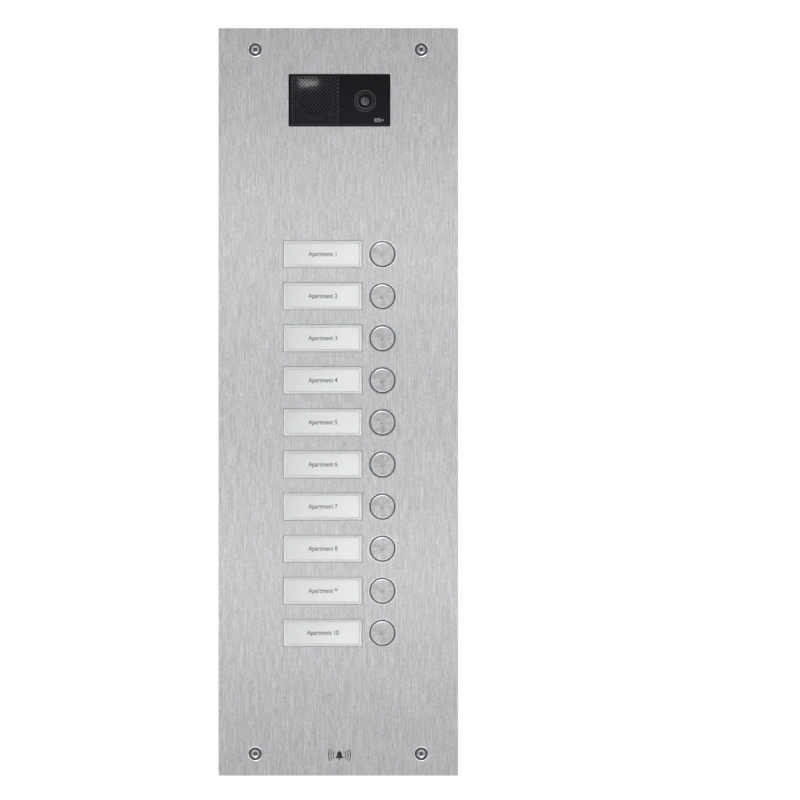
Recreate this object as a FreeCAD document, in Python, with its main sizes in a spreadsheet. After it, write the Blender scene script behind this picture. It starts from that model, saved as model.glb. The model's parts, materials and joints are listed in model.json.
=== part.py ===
import FreeCAD, Part
import os
import re
import Sketcher

# Flush-mounted door intercom panel: a stainless faceplate with an audio and video module, ten name
# windows and ten call buttons, over a steel box that is built into the wall.
# Frame: +Z up, +X to the right as a caller sees it, +Y into the wall. Y = 0 is the wall's surface,
# where the gasket seats, and X = Z = 0 is the plate's centre. All sizes are in millimetres.

ROWS = 10
DIMENSIONS = [
    ("plate_width", 180, "faceplate, across"),
    ("plate_height", 562, "faceplate, up"),
    ("plate_thick", 2.5, "faceplate"),
    ("plate_corner", 0.8, "radius of the plate's corners"),
    ("plate_edge", 0.3, "bevel round the plate's front"),
    ("gasket_thick", 1.5, "between plate and wall"),
    ("gasket_inset", 1, "from the plate's outline"),
    ("row_count", ROWS, "name windows and call buttons"),
    ("row_pitch", 31.64, "from one row to the next"),
    ("first_row_z", 111, "centre of the top row"),
    ("window_x", -11.7, "centre of the name windows"),
    ("window_width", 59.4, "opening for a name window"),
    ("window_height", 20.7, "opening for a name window"),
    ("window_gap", 0.3, "play round a name window"),
    ("window_edge", 0.15, "bevel round a name window's opening"),
    ("window_bevel", 0.45, "front edge of a name window"),
    ("window_proud", 0.3, "name window in front of the plate"),
    ("window_skin", 1.7, "clear plastic in front of the card"),
    ("card_width", 55.4, "pocket for the name card"),
    ("card_height", 16.8, "pocket for the name card"),
    ("card_corner", 1.5, "radius of the card's corners"),
    ("card_thick", 0.3, "name card"),
    ("row_flange_width", 63, "window and light box behind the plate"),
    ("row_flange_height", 24, "window and light box behind the plate"),
    ("row_flange_thick", 1.2, "window's flange"),
    ("wall_thin", 1.4, "walls of the small plastic mouldings"),
    ("button_x", 33.2, "centre of the call buttons"),
    ("button_hole_r", 9.6, "hole in the plate"),
    ("button_edge", 0.5, "bevel round a button's hole"),
    ("button_cap_r", 8.8, "turned steel cap"),
    ("button_proud", 0.9, "cap in front of the plate"),
    ("button_bevel", 0.8, "front edge of the cap, half as deep as it is wide"),
    ("button_flange_r", 10.9, "flange that keeps the cap in"),
    ("button_stem_r", 3, "stem of the cap"),
    ("button_play", 0.05, "radial clearance of the stem"),
    ("button_travel", 1.2, "from rest to fully pressed"),
    ("switch_travel", 0.3, "how far the stem presses the dome, at the end of its travel"),
    ("spring_r", 5, "mean radius of the return spring"),
    ("spring_wire_r", 0.35, "wire of the return spring"),
    ("spring_pitch", 1.3, "between two coils"),
    ("board_y", 14.6, "front of the button board"),
    ("board_thick", 1.6, "circuit boards"),
    ("stud_r", 1.5, "weld studs on the plate"),
    ("stud_hole_r", 1.7, "clearance holes for the studs"),
    ("nut_width", 5.5, "across flats"),
    ("nut_thick", 2.4, "stud nuts"),
    ("av_x", 0.86, "centre of the audio and video module"),
    ("av_z", 226.6, "centre of the audio and video module"),
    ("av_width", 76.5, "opening for the module"),
    ("av_height", 39.5, "opening for the module"),
    ("av_corner", 1.2, "radius of the opening's corners"),
    ("av_edge", 0.2, "bevel round the opening's front"),
    ("av_gap", 0.7, "round the module's nose"),
    ("av_recess", 0.6, "nose behind the plate's front"),
    ("av_rim", 0.9, "width of the nose's rim"),
    ("av_insert_thick", 1.4, "grille and camera fascia"),
    ("av_seam", 0.44, "grille to fascia, from the module's centre"),
    ("av_flange_width", 94, "module behind the plate"),
    ("av_flange_height", 46, "module behind the plate"),
    ("av_cover_width", 80, "rear cover"),
    ("av_cover_height", 44, "rear cover"),
    ("av_cover_back", 30, "rear face of the rear cover"),
    ("av_board_y", 20, "front of the module's board"),
    ("mesh_step_x", 2.8, "grille openings, across"),
    ("mesh_step_z", 2.84, "grille openings, up"),
    ("mesh_half", 1.08, "half diagonal of a grille opening"),
    ("mesh_count", 12, "grille openings each way, twice over"),
    ("camera_dx", 19.29, "camera, from the module's centre"),
    ("camera_dz", -0.5, "camera, from the module's centre"),
    ("camera_window_r", 8.3, "hole for the camera's window"),
    ("camera_pivot_y", 7, "both camera axes cross here"),
    ("camera_ball_r", 7, "camera head"),
    ("camera_pin_r", 0.95, "pivot pins"),
    ("camera_bore_r", 1, "pivot bores"),
    ("speaker_dx", -18.1, "loudspeaker, from the module's centre"),
    ("speaker_rim_r", 14.5, "loudspeaker's rim"),
    ("microphone_dx", -4.3, "microphone, from the module's centre"),
    ("microphone_dz", -13, "microphone, from the module's centre"),
    ("screw_x", 62.4, "security screws, each side"),
    ("screw_z", 264.65, "security screws, up and down"),
    ("screw_head_r", 3.6, "dished head"),
    ("screw_shank_r", 1.95, "M4 shank"),
    ("screw_hole_r", 3.2, "hole in the plate"),
    ("screw_cup_r", 5, "countersink of the hole, for a cup washer"),
    ("screw_edge", 0.4, "bevel round a countersink"),
    ("box_width", 160, "flush box"),
    ("box_height", 546, "flush box"),
    ("box_depth", 50, "flush box"),
    ("box_wall", 1.2, "steel sheet"),
    ("fixing_x", 55, "wall fixing holes, each side"),
    ("fixing_z", 220, "wall fixing holes, up and down"),
    ("fixing_r", 2.75, "wall fixing holes"),
    ("entry_z", -235, "cable entry"),
    ("entry_r", 6, "bore of the cable grommet"),
]

FRONT = "(-gasket_thick - plate_thick)"
BACK = "(-gasket_thick)"
NOSE = "(-gasket_thick - plate_thick + av_recess)"
INSERT_FRONT = "(-gasket_thick - plate_thick + av_recess + 0.1)"
INSERT_BACK = "(-gasket_thick - plate_thick + av_recess + 0.1 + av_insert_thick)"
LEFT_X = "(av_x + speaker_dx)"
MICROPHONE_X = "(av_x + microphone_dx)"
MICROPHONE_Z = "(av_z + microphone_dz)"
CAMERA_X = "(av_x + camera_dx)"
CAMERA_Z = "(av_z + camera_dz)"
BOARD_BACK = "(board_y + board_thick)"
AV_BOARD_BACK = "(av_board_y + board_thick)"
RIBBON_X = "(av_x + 20.5)"
STEM_END = "(board_y - 5.7)"

V = FreeCAD.Vector
doc = FreeCAD.newDocument("door_intercom_panel")
parts = []


# ---------------------------------------------------------------- the sheet and the sketches

def make_sheet():
    """The driving dimensions, each in a cell with its name as alias."""
    made = doc.addObject("Spreadsheet::Sheet", "dims")
    for row, (alias, size, remark) in enumerate(DIMENSIONS, start=1):
        made.set(f"A{row}", alias)
        made.set(f"B{row}", str(size))
        made.set(f"C{row}", remark)
        made.setAlias(f"B{row}", alias)
    doc.recompute()
    return made


sheet = make_sheet()


def bound(text):
    """An expression in which every dimension is read from the sheet."""
    return re.sub(r"[a-z]+(?:_[a-z]+)+", lambda found: "dims." + found.group(0), str(text))


def value(text):
    return float(sheet.evalExpression(bound(text)))


def origin_feature(body, role):
    return next(item for item in body.Origin.OriginFeatures if item.Role == role)


def new_body(label):
    body = doc.addObject("PartDesign::Body", label)
    body.Label = label
    parts.append(body)
    return body


def at(body, x, z):
    """Moves a body that is modelled round the Y axis to its place on the panel."""
    body.setExpression("Placement.Base.x", bound(x))
    body.setExpression("Placement.Base.z", bound(z))


def new_sketch(body, plane, offset):
    sketch = body.newObject("Sketcher::SketchObject", "sketch")
    sketch.AttachmentSupport = [(origin_feature(body, plane), "")]
    sketch.MapMode = "FlatFace"
    sketch.setExpression("AttachmentOffset.Base.z", bound(offset))
    return sketch


def fix_point(sketch, curve, end, x, y):
    """Binds one point of a sketch's curve to two expressions, measured from the origin."""
    for kind, text in (("DistanceX", x), ("DistanceY", y)):
        index = sketch.addConstraint(Sketcher.Constraint(kind, -1, 1, curve, end, value(text)))
        sketch.setExpression(f"Constraints[{index}]", bound(text))


def polygon(points):
    """A closed outline through points given as pairs of expressions."""
    def draw(sketch):
        first = sketch.GeometryCount
        count = len(points)
        corners = [V(value(x), value(y), 0) for x, y in points]
        for i in range(count):
            sketch.addGeometry(Part.LineSegment(corners[i], corners[(i + 1) % count]), False)
        for i in range(count):
            follower = first + (i + 1) % count
            sketch.addConstraint(Sketcher.Constraint("Coincident", first + i, 2, follower, 1))
        for i, (x, y) in enumerate(points):
            fix_point(sketch, first + i, 1, x, y)
    return draw


def rectangle(x, z, width, height):
    sides = [(-1, -1), (1, -1), (1, 1), (-1, 1)]
    return polygon([(f"{x} + {i} * ({width}) / 2", f"{z} + {j} * ({height}) / 2") for i, j in sides])


def diamond(x, z, half):
    return polygon([(f"{x} - {half}", z), (x, f"{z} - {half}"), (f"{x} + {half}", z), (x, f"{z} + {half}")])


def hexagon(x, z, across_flats):
    """A hexagon with two corners on the X axis."""
    radius = f"({across_flats}) / sqrt(3)"
    turns = [f"{60 * i} deg" for i in range(6)]
    return polygon([(f"{x} + {radius} * cos({a})", f"{z} + {radius} * sin({a})") for a in turns])


def circle(x, y, radius):
    def draw(sketch):
        index = sketch.addGeometry(Part.Circle(V(value(x), value(y), 0), V(0, 0, 1), value(radius)), False)
        size = sketch.addConstraint(Sketcher.Constraint("Radius", index, value(radius)))
        sketch.setExpression(f"Constraints[{size}]", bound(radius))
        fix_point(sketch, index, 3, x, y)
    return draw


# ---------------------------------------------------------------- features

def extrude(body, kind, plane, offset, depth, outlines):
    sketch = new_sketch(body, plane, offset)
    for draw in outlines:
        draw(sketch)
    feature = body.newObject(kind, "feature")
    feature.Profile = sketch
    feature.setExpression("Length", bound(depth))
    return feature


def pad(body, start, end, *outlines):
    """Fills outlines drawn on the X-Z plane from Y = start to Y = end."""
    feature = extrude(body, "PartDesign::Pad", "XZ_Plane", f"-({start})", f"({end}) - ({start})", outlines)
    feature.Reversed = True
    return feature


def cut(body, start, end, *outlines):
    """Cuts outlines drawn on the X-Z plane from Y = start to Y = end."""
    return extrude(body, "PartDesign::Pocket", "XZ_Plane", f"-({start})", f"({end}) - ({start})", outlines)


def cut_across(body, plane, offset, depth, *outlines):
    """Cuts outlines from another origin plane, against that plane's normal."""
    return extrude(body, "PartDesign::Pocket", plane, offset, depth, outlines)


def turn(body, *points):
    """A solid turned about the Y axis; each point is a radius and a Y."""
    sketch = new_sketch(body, "XY_Plane", "0")
    polygon(points)(sketch)
    feature = body.newObject("PartDesign::Revolution", "feature")
    feature.Profile = sketch
    feature.ReferenceAxis = (sketch, ["V_Axis"])
    return feature


def set_steps(body, pattern, axis, spacing, count):
    pattern.Direction = (origin_feature(body, axis), [""])
    pattern.Mode = "Spacing"
    pattern.setExpression("Offset", bound(spacing))
    pattern.setExpression("Occurrences", bound(count))


def repeat(body, features, axis, spacing, count):
    """Repeats features along one axis."""
    pattern = body.newObject("PartDesign::LinearPattern", "pattern")
    pattern.Originals = features
    set_steps(body, pattern, axis, spacing, count)
    body.Tip = pattern
    return pattern


def repeat_grid(body, features, across, upward):
    """Repeats features along X and along Z; across and upward each give a spacing and a count."""
    grid = body.newObject("PartDesign::MultiTransform", "grid")
    grid.Originals = features
    steps = []
    for axis, (spacing, count) in (("X_Axis", across), ("Z_Axis", upward)):
        step = doc.addObject("PartDesign::LinearPattern", "step")
        set_steps(body, step, axis, spacing, count)
        steps.append(step)
    grid.Transformations = steps
    body.Tip = grid


def repeat_rows(body, *features):
    """Repeats what is modelled in the top row in the rows below it."""
    pattern = repeat(body, list(features), "Z_Axis", "row_pitch", "row_count")
    pattern.Reversed = True
    return pattern


def dress(body, kind, size, base, test):
    """A fillet or chamfer of the edges of base that pass test."""
    doc.recompute()
    names = [f"Edge{i}" for i, edge in enumerate(base.Shape.Edges, start=1) if test(edge)]
    feature = body.newObject(kind, "dressed")
    feature.Base = (base, names)
    feature.setExpression("Radius" if kind.endswith("Fillet") else "Size", bound(size))
    return feature


def along_y(edge):
    ends = edge.Vertexes
    return len(ends) == 2 and abs(ends[0].X - ends[1].X) + abs(ends[0].Z - ends[1].Z) < 1e-6


def in_plane(y, half_width=None, half_height=None, x=0.0, z=0.0):
    """A test for edges that lie at one Y, and within a rectangle where one is given."""
    def test(edge):
        box = edge.BoundBox
        if abs(box.YMin - y) > 1e-6 or abs(box.YMax - y) > 1e-6:
            return False
        if half_width is None:
            return True
        margin = 1e-6
        return (
            abs(box.Center.x - x) <= half_width + margin
            and abs(box.Center.z - z) <= half_height + margin
        )
    return test


# ---------------------------------------------------------------- plate, gasket, screws and box

def make_faceplate():
    body = new_body("faceplate")
    sheet_pad = pad(body, FRONT, BACK, rectangle("0", "0", "plate_width", "plate_height"))
    rounded = dress(body, "PartDesign::Fillet", "plate_corner", sheet_pad, along_y)
    dress(body, "PartDesign::Chamfer", "plate_edge", rounded, in_plane(value(FRONT)))
    opening = cut(body, FRONT, BACK, rectangle("av_x", "av_z", "av_width", "av_height"))
    rounded = dress(body, "PartDesign::Fillet", "av_corner", opening, module_corner)
    dress(body, "PartDesign::Chamfer", "av_edge", rounded,
          in_plane(value(FRONT), value("av_width / 2"), value("av_height / 2"), value("av_x"), value("av_z")))
    row = cut(body, FRONT, BACK,
              rectangle("window_x", "first_row_z", "window_width", "window_height"),
              circle("button_x", "first_row_z", "button_hole_r"))
    repeat_rows(body, row)
    screws = cut(body, FRONT, BACK, *[
        circle(f"{i} * screw_x", f"{j} * screw_z", "screw_hole_r") for i in (-1, 1) for j in (-1, 1)])
    cups = dress(body, "PartDesign::Chamfer", "screw_cup_r - screw_hole_r", screws,
                 front_circle("screw_hole_r"))
    eased = dress(body, "PartDesign::Chamfer", "screw_edge", cups, front_circle("screw_cup_r"))
    eased = dress(body, "PartDesign::Chamfer", "button_edge", eased, front_circle("button_hole_r"))
    dress(body, "PartDesign::Chamfer", "window_edge", eased, window_edge)


def module_corner(edge):
    """A test for the corners of the module's opening, which leaves out the plate's own."""
    return along_y(edge) and abs(edge.BoundBox.Center.x - value("av_x")) < value("av_width")


def window_edge(edge):
    """A test for the front edges of the name windows' openings."""
    sides = value("window_width"), value("window_height")
    return in_plane(value(FRONT))(edge) and any(abs(edge.Length - side) < 1e-6 for side in sides)


def front_circle(radius):
    """A test for the front edges of holes of one radius."""
    def test(edge):
        return (
            in_plane(value(FRONT))(edge)
            and isinstance(edge.Curve, Part.Circle)
            and abs(edge.Curve.Radius - value(radius)) < 1e-6
        )
    return test


def module_stud_circles(radius):
    """The four studs at the corners of the module's flange."""
    return [
        circle(f"av_x + {43.5 * i}", f"av_z + {15 * j}", radius) for i in (-1, 1) for j in (-1, 1)]


def board_stud_circles(radius):
    """The top pair of the button board's studs, between the first two rows."""
    return [circle(x, "first_row_z - row_pitch / 2", radius) for x in ("-30", "button_x")]


def repeat_board_studs(body, feature):
    pattern = repeat(body, [feature], "Z_Axis", "4 * row_pitch", "3")
    pattern.Reversed = True


def make_plate_studs():
    """Threaded studs, welded to the plate's back, that hold the module and the button board."""
    body = new_body("plate_studs")
    pad(body, BACK, "4", *module_stud_circles("stud_r"))
    board_studs = pad(body, BACK, f"{BOARD_BACK} + 3.8", *board_stud_circles("stud_r"))
    repeat_board_studs(body, board_studs)


def make_gasket():
    body = new_body("wall_gasket")
    pad(body, BACK, "0",
        rectangle("0", "0", "plate_width - 2 * gasket_inset", "plate_height - 2 * gasket_inset"),
        rectangle("0", "0", "box_width + 4", "box_height + 4"))


def at_screws(body, *features):
    """Repeats what is modelled at the lower left screw at all four."""
    repeat_grid(body, list(features), ("2 * screw_x", "2"), ("2 * screw_z", "2"))
    at(body, "-screw_x", "-screw_z")


def make_security_screws():
    """M4 screws with a dished head, and a pin in the middle of their hexagon recess."""
    body = new_body("security_screws")
    dish = f"{FRONT} + 0.8"
    head = turn(body, ("0", dish), ("1.6", dish), ("2.9", f"{FRONT} + 0.1"), ("3.35", f"{FRONT} + 0.1"),
                ("screw_head_r", f"{FRONT} + 0.35"), ("screw_head_r", f"{FRONT} + 1"),
                ("screw_shank_r", f"{FRONT} + 1"), ("screw_shank_r", "11"),
                ("screw_shank_r - 0.5", "12"), ("0", "12"))
    recess = cut(body, dish, f"{dish} + 1", hexagon("0", "0", "2.5"), circle("0", "0", "0.5"))
    at_screws(body, head, recess)


def make_cup_washers():
    """Black washers that seat in the plate's countersinks and take the screw heads."""
    body = new_body("cup_washers")
    inner, play = "screw_shank_r + 0.05", 0.05
    face = f"{FRONT} + 0.1"
    cup = turn(body, ("screw_head_r + 0.05", face), (f"screw_cup_r - 0.1 - {play}", face),
               (f"screw_hole_r - {play}", f"{FRONT} + screw_cup_r - screw_hole_r"),
               (f"screw_hole_r - {play}", BACK), (inner, BACK), (inner, f"{FRONT} + 1"),
               ("screw_head_r + 0.05", f"{FRONT} + 1"))
    at_screws(body, cup)


def make_back_box():
    body = new_body("back_box")
    inside = "box_width - 2 * box_wall", "box_height - 2 * box_wall"
    pad(body, "0", "box_depth", rectangle("0", "0", "box_width", "box_height"))
    cut(body, "0", "box_depth - box_wall", rectangle("0", "0", *inside))
    cut(body, "box_depth - box_wall", "box_depth", circle("0", "entry_z", "entry_r + 2.6"), *[
        circle(f"{i} * fixing_x", f"{j} * fixing_z", "fixing_r") for i in (-1, 1) for j in (-1, 1)])
    corners = [(i, j) for i in (-1, 1) for j in (-1, 1)]
    pad(body, "1", "2.5", *[
        rectangle(f"{i} * (box_width / 2 - 12.4)", f"{j} * (box_height / 2 - 8.1)", "23.8", "14.6")
        for i, j in corners])
    pad(body, "2.5", "11", *[circle(f"{i} * screw_x", f"{j} * screw_z", "4.4") for i, j in corners])
    cut(body, "1", "11", *[
        circle(f"{i} * screw_x", f"{j} * screw_z", "screw_shank_r + 0.05") for i, j in corners])
    pad(body, "22", "22 + box_wall", *[
        rectangle(f"{i} * (box_width / 2 + 3)", f"{j} * 150", "7", "16") for i, j in corners])
    for offset, depth in (("box_height / 2", "0.4"), ("-box_height / 2 + 0.4", "0.4")):
        cut_across(body, "XY_Plane", offset, depth, *[
            circle(x, "27", radius) for x in ("-45", "0", "45") for radius in ("10.2", "11")])


def make_cable_grommet():
    body = new_body("cable_grommet")
    inner_face = "box_depth - box_wall - 0.05"
    outer_face = "box_depth + 0.05"
    turn(body, ("entry_r", f"{inner_face} - 1.5"), ("entry_r + 4.5", f"{inner_face} - 1.5"),
         ("entry_r + 4.5", inner_face), ("entry_r + 2.5", inner_face), ("entry_r + 2.5", outer_face),
         ("entry_r + 4.5", outer_face), ("entry_r + 3.6", f"{outer_face} + 1.4"),
         ("entry_r", f"{outer_face} + 1.4"))
    at(body, "0", "entry_z")


# ---------------------------------------------------------------- the rows

def make_name_window(row):
    body = new_body(f"name_window_{row + 1:02d}")
    face = f"{FRONT} - window_proud"
    nose = pad(body, face, BACK,
               rectangle("0", "0", "window_width - 2 * window_gap", "window_height - 2 * window_gap"))
    dress(body, "PartDesign::Chamfer", "window_bevel", nose, in_plane(value(face)))
    pad(body, BACK, f"{BACK} + row_flange_thick",
        rectangle("0", "0", "row_flange_width", "row_flange_height"))
    card_front = f"{face} + window_skin"
    pocket = cut(body, card_front, f"{BACK} + row_flange_thick",
                 rectangle("0", "0", "card_width", "card_height"))
    deep = value(card_front)
    dress(body, "PartDesign::Fillet", "card_corner", pocket,
          lambda edge: along_y(edge) and abs(edge.BoundBox.YMin - deep) < 1e-6)
    at(body, "window_x", f"first_row_z - {row} * row_pitch")


def make_name_cards():
    body = new_body("name_cards")
    card_front = f"{FRONT} - window_proud + window_skin + 0.05"
    card = pad(body, card_front, f"{card_front} + card_thick",
               rectangle("0", "0", "card_width - 0.4", "card_height - 0.4"))
    rounded = dress(body, "PartDesign::Fillet", "card_corner - 0.2", card, along_y)
    repeat_rows(body, card, rounded)
    at(body, "window_x", "first_row_z")


def make_light_boxes():
    """White boxes that press the cards into the windows and spread the light of two lamps each."""
    body = new_body("light_boxes")
    seat = f"{BACK} + row_flange_thick + 0.05"
    card_back = f"{FRONT} - window_proud + window_skin + 0.05 + card_thick"
    tub = pad(body, seat, "board_y", rectangle("0", "0", "row_flange_width", "row_flange_height"))
    hollow = cut(body, f"{seat} + wall_thin", "board_y",
                 rectangle("0", "0", "row_flange_width - 2 * wall_thin", "row_flange_height - 2 * wall_thin"))
    face = pad(body, card_back, seat, rectangle("0", "0", "card_width - 0.4", "card_height - 0.4"))
    rounded = dress(body, "PartDesign::Fillet", "card_corner - 0.2", face,
                    lambda edge: along_y(edge) and abs(edge.BoundBox.YMin - value(card_back)) < 1e-6)
    repeat_rows(body, tub, hollow, face, rounded)
    at(body, "window_x", "first_row_z")


def make_button_cap(row):
    body = new_body(f"button_cap_{row + 1:02d}")
    face = f"{FRONT} - button_proud"
    flange = f"{BACK} + 0.4"
    turn(body, ("0", face), ("button_cap_r - button_bevel", face),
         ("button_cap_r", f"{face} + button_bevel / 2"), ("button_cap_r", flange),
         ("button_flange_r", flange), ("button_flange_r", f"{flange} + 1"),
         ("button_stem_r", f"{flange} + 1"), ("button_stem_r", f"{STEM_END} - 0.4"),
         ("button_stem_r - 0.4", STEM_END), ("0", STEM_END))
    at(body, "button_x", f"first_row_z - {row} * row_pitch")


def make_button_seals():
    body = new_body("button_seals")
    ring = pad(body, BACK, f"{BACK} + 0.3", circle("0", "0", "11.1"), circle("0", "0", "9.75"))
    repeat_rows(body, ring)
    at(body, "button_x", "first_row_z")


def make_button_housings():
    """Guides behind the plate: a bore for the cap's flange, a spring well and a hole for the stem."""
    body = new_body("button_housings")
    block = pad(body, BACK, "board_y", rectangle("0", "0", "24", "24"))
    bores = [
        cut(body, BACK, "2.2", circle("0", "0", "11.3")),
        cut(body, "2.2", "6.5", circle("0", "0", "7.5")),
        cut(body, "6.5", "8", circle("0", "0", "button_stem_r + button_play")),
        cut(body, "8", "board_y", rectangle("0", "0", "21.2", "21.2")),
    ]
    repeat_rows(body, block, *bores)
    at(body, "button_x", "first_row_z")


def make_button_springs():
    body = new_body("button_springs")
    start = f"{BACK} + 1.4 + spring_wire_r + 0.05"
    sketch = new_sketch(body, "XY_Plane", "0")
    circle("spring_r", start, "spring_wire_r")(sketch)
    coil = body.newObject("PartDesign::AdditiveHelix", "coil")
    coil.Profile = sketch
    coil.ReferenceAxis = (sketch, ["V_Axis"])
    coil.Mode = "pitch-height-angle"
    coil.Angle = 0
    coil.setExpression("Pitch", bound("spring_pitch"))
    coil.setExpression("Height", bound(f"6.45 - spring_wire_r - ({start})"))
    repeat_rows(body, coil)
    at(body, "button_x", "first_row_z")


def make_switches():
    """Push switches on the button board, and the soft domes that the stems press."""
    body = new_body("push_switches")
    case = pad(body, "board_y - 3.4", "board_y", rectangle("0", "0", "6.2", "6.2"))
    repeat_rows(body, case)
    at(body, "button_x", "first_row_z")
    domes = new_body("switch_domes")
    top = f"{STEM_END} + button_travel - switch_travel"
    dome = turn(domes, ("0", top), ("1.3", top), ("1.75", f"{top} + 0.5"),
                ("1.75", "board_y - 3.4"), ("0", "board_y - 3.4"))
    repeat_rows(domes, dome)
    at(domes, "button_x", "first_row_z")


def make_button_board():
    body = new_body("button_board")
    middle_z = "first_row_z - (row_count - 1) * row_pitch / 2"
    pad(body, "board_y", BOARD_BACK, rectangle("1", middle_z, "90.4", "row_count * row_pitch"))
    holes = cut(body, "board_y", BOARD_BACK, *board_stud_circles("stud_hole_r"))
    repeat_board_studs(body, holes)
    pad(body, BOARD_BACK, f"{BOARD_BACK} + 6", rectangle(RIBBON_X, "first_row_z + 7", "14", "8"))


def make_backlights():
    body = new_body("backlight_lamps")
    lamps = pad(body, "board_y - 1.9", "board_y",
                rectangle("-15", "0", "3.5", "2.8"), rectangle("15", "0", "3.5", "2.8"))
    repeat_rows(body, lamps)
    at(body, "window_x", "first_row_z")


def make_stud_nuts():
    body = new_body("stud_nuts")
    nuts = []
    for x in ("-30", "button_x"):
        nuts += [hexagon(x, "first_row_z - row_pitch / 2", "nut_width"),
                 circle(x, "first_row_z - row_pitch / 2", "stud_r + 0.05")]
    board_nuts = pad(body, BOARD_BACK, f"{BOARD_BACK} + nut_thick", *nuts)
    repeat_board_studs(body, board_nuts)
    nuts = []
    for i in (-1, 1):
        for j in (-1, 1):
            x, z = f"av_x + {43.5 * i}", f"av_z + {15 * j}"
            nuts += [hexagon(x, z, "nut_width"), circle(x, z, "stud_r + 0.05")]
    pad(body, "0.5", "0.5 + nut_thick", *nuts)


# ---------------------------------------------------------------- the audio and video module

def make_av_frame():
    """Nose and flange in one, with a web that carries the loudspeaker and the microphone."""
    body = new_body("av_frame")
    nose = "av_width - 2 * av_gap", "av_height - 2 * av_gap"
    pocket = "av_width - 2 * av_gap - 2 * av_rim", "av_height - 2 * av_gap - 2 * av_rim"
    front = pad(body, NOSE, BACK, rectangle("av_x", "av_z", *nose))
    rounded = dress(body, "PartDesign::Fillet", "0.6", front, along_y)
    dress(body, "PartDesign::Chamfer", "0.3", rounded, in_plane(value(NOSE)))
    pad(body, BACK, "0.5", rectangle("av_x", "av_z", "av_flange_width", "av_flange_height"))
    cut(body, NOSE, INSERT_BACK, rectangle("av_x", "av_z", *pocket))
    half = "(av_width / 2 - av_gap - av_rim - 1.5)"
    cut(body, INSERT_BACK, "0.5",
        circle(LEFT_X, "av_z", "speaker_rim_r + 0.05"), circle(MICROPHONE_X, MICROPHONE_Z, "3.85"),
        rectangle("av_x + (av_seam + 1.2 + av_width / 2 - av_gap - av_rim - 1.5) / 2", "av_z",
                  f"{half} - av_seam - 1.2", "av_height - 2 * av_gap - 2 * av_rim - 3"))
    cut(body, BACK, "0.5", *module_stud_circles("stud_hole_r"))


def make_speaker_grille():
    """A flat grille: a fine diagonal mesh of square bars, open right through."""
    body = new_body("speaker_grille")
    width = "av_width / 2 - av_gap - av_rim - 0.2 + av_seam"
    centre = "av_x + (av_seam - av_width / 2 + av_gap + av_rim) / 2"
    plate = pad(body, INSERT_FRONT, INSERT_BACK,
                rectangle(centre, "av_z", width, "av_height - 2 * av_gap - 2 * av_rim - 0.2"))
    dress(body, "PartDesign::Chamfer", "0.2", plate, in_plane(value(INSERT_FRONT)))
    first_x = f"{centre} - (mesh_count - 0.5) * mesh_step_x / 2"
    first_z = "av_z - (mesh_count - 0.5) * mesh_step_z / 2"
    holes = cut(body, INSERT_FRONT, INSERT_BACK, diamond(first_x, first_z, "mesh_half"),
                diamond(f"{first_x} + mesh_step_x / 2", f"{first_z} + mesh_step_z / 2", "mesh_half"))
    repeat_grid(body, [holes], ("mesh_step_x", "mesh_count"), ("mesh_step_z", "mesh_count"))


def make_camera_fascia():
    body = new_body("camera_fascia")
    width = "av_width / 2 - av_gap - av_rim - 0.2 - av_seam"
    centre = "av_x + (av_seam + av_width / 2 - av_gap - av_rim) / 2"
    plate = pad(body, INSERT_FRONT, INSERT_BACK,
                rectangle(centre, "av_z", width, "av_height - 2 * av_gap - 2 * av_rim - 0.2"))
    dress(body, "PartDesign::Chamfer", "0.2", plate, in_plane(value(INSERT_FRONT)))
    seat = cut(body, INSERT_FRONT, f"{INSERT_FRONT} + 1", circle(CAMERA_X, CAMERA_Z, "camera_window_r"))
    dress(body, "PartDesign::Chamfer", "0.25", seat,
          in_plane(value(INSERT_FRONT), 1, 1, value(CAMERA_X), value(CAMERA_Z)))
    cut(body, f"{INSERT_FRONT} + 1", INSERT_BACK, circle(CAMERA_X, CAMERA_Z, "camera_window_r - 1"))


def make_camera_window():
    body = new_body("camera_window")
    edge = "camera_window_r - 0.15"
    turn(body, ("0", INSERT_FRONT), (f"{edge} - 0.15", INSERT_FRONT), (edge, f"{INSERT_FRONT} + 0.15"),
         (edge, f"{INSERT_FRONT} + 0.95"), ("0", f"{INSERT_FRONT} + 0.95"))
    at(body, CAMERA_X, CAMERA_Z)


def make_rear_cover():
    """The module's rear shell, with pins for the board and openings for terminals and trimmers."""
    body = new_body("av_rear_cover")
    inner_back = "av_cover_back - 1.5"
    shell = pad(body, "0.5", "av_cover_back", rectangle("av_x", "av_z", "av_cover_width", "av_cover_height"))
    dress(body, "PartDesign::Fillet", "2", shell, along_y)
    cut(body, "0.5", inner_back, rectangle("av_x", "av_z", "av_cover_width - 3", "av_cover_height - 3"))
    pins = [(f"av_x + {31 * i}", f"av_z + {15 * j}") for i in (-1, 1) for j in (-1, 1)]
    pad(body, AV_BOARD_BACK, inner_back, *[circle(x, z, "2.5") for x, z in pins])
    pad(body, "av_board_y - 1", AV_BOARD_BACK, *[circle(x, z, "1.1") for x, z in pins])
    cut(body, inner_back, "av_cover_back", rectangle("av_x", "av_z - 12", "27", "11"),
        circle("av_x - 14", "av_z + 9", "2.6"), circle("av_x + 14", "av_z + 9", "2.6"))
    cut(body, "23", "26.2", rectangle(RIBBON_X, "av_z - av_cover_height / 2 + 0.5", "14", "3"))


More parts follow.
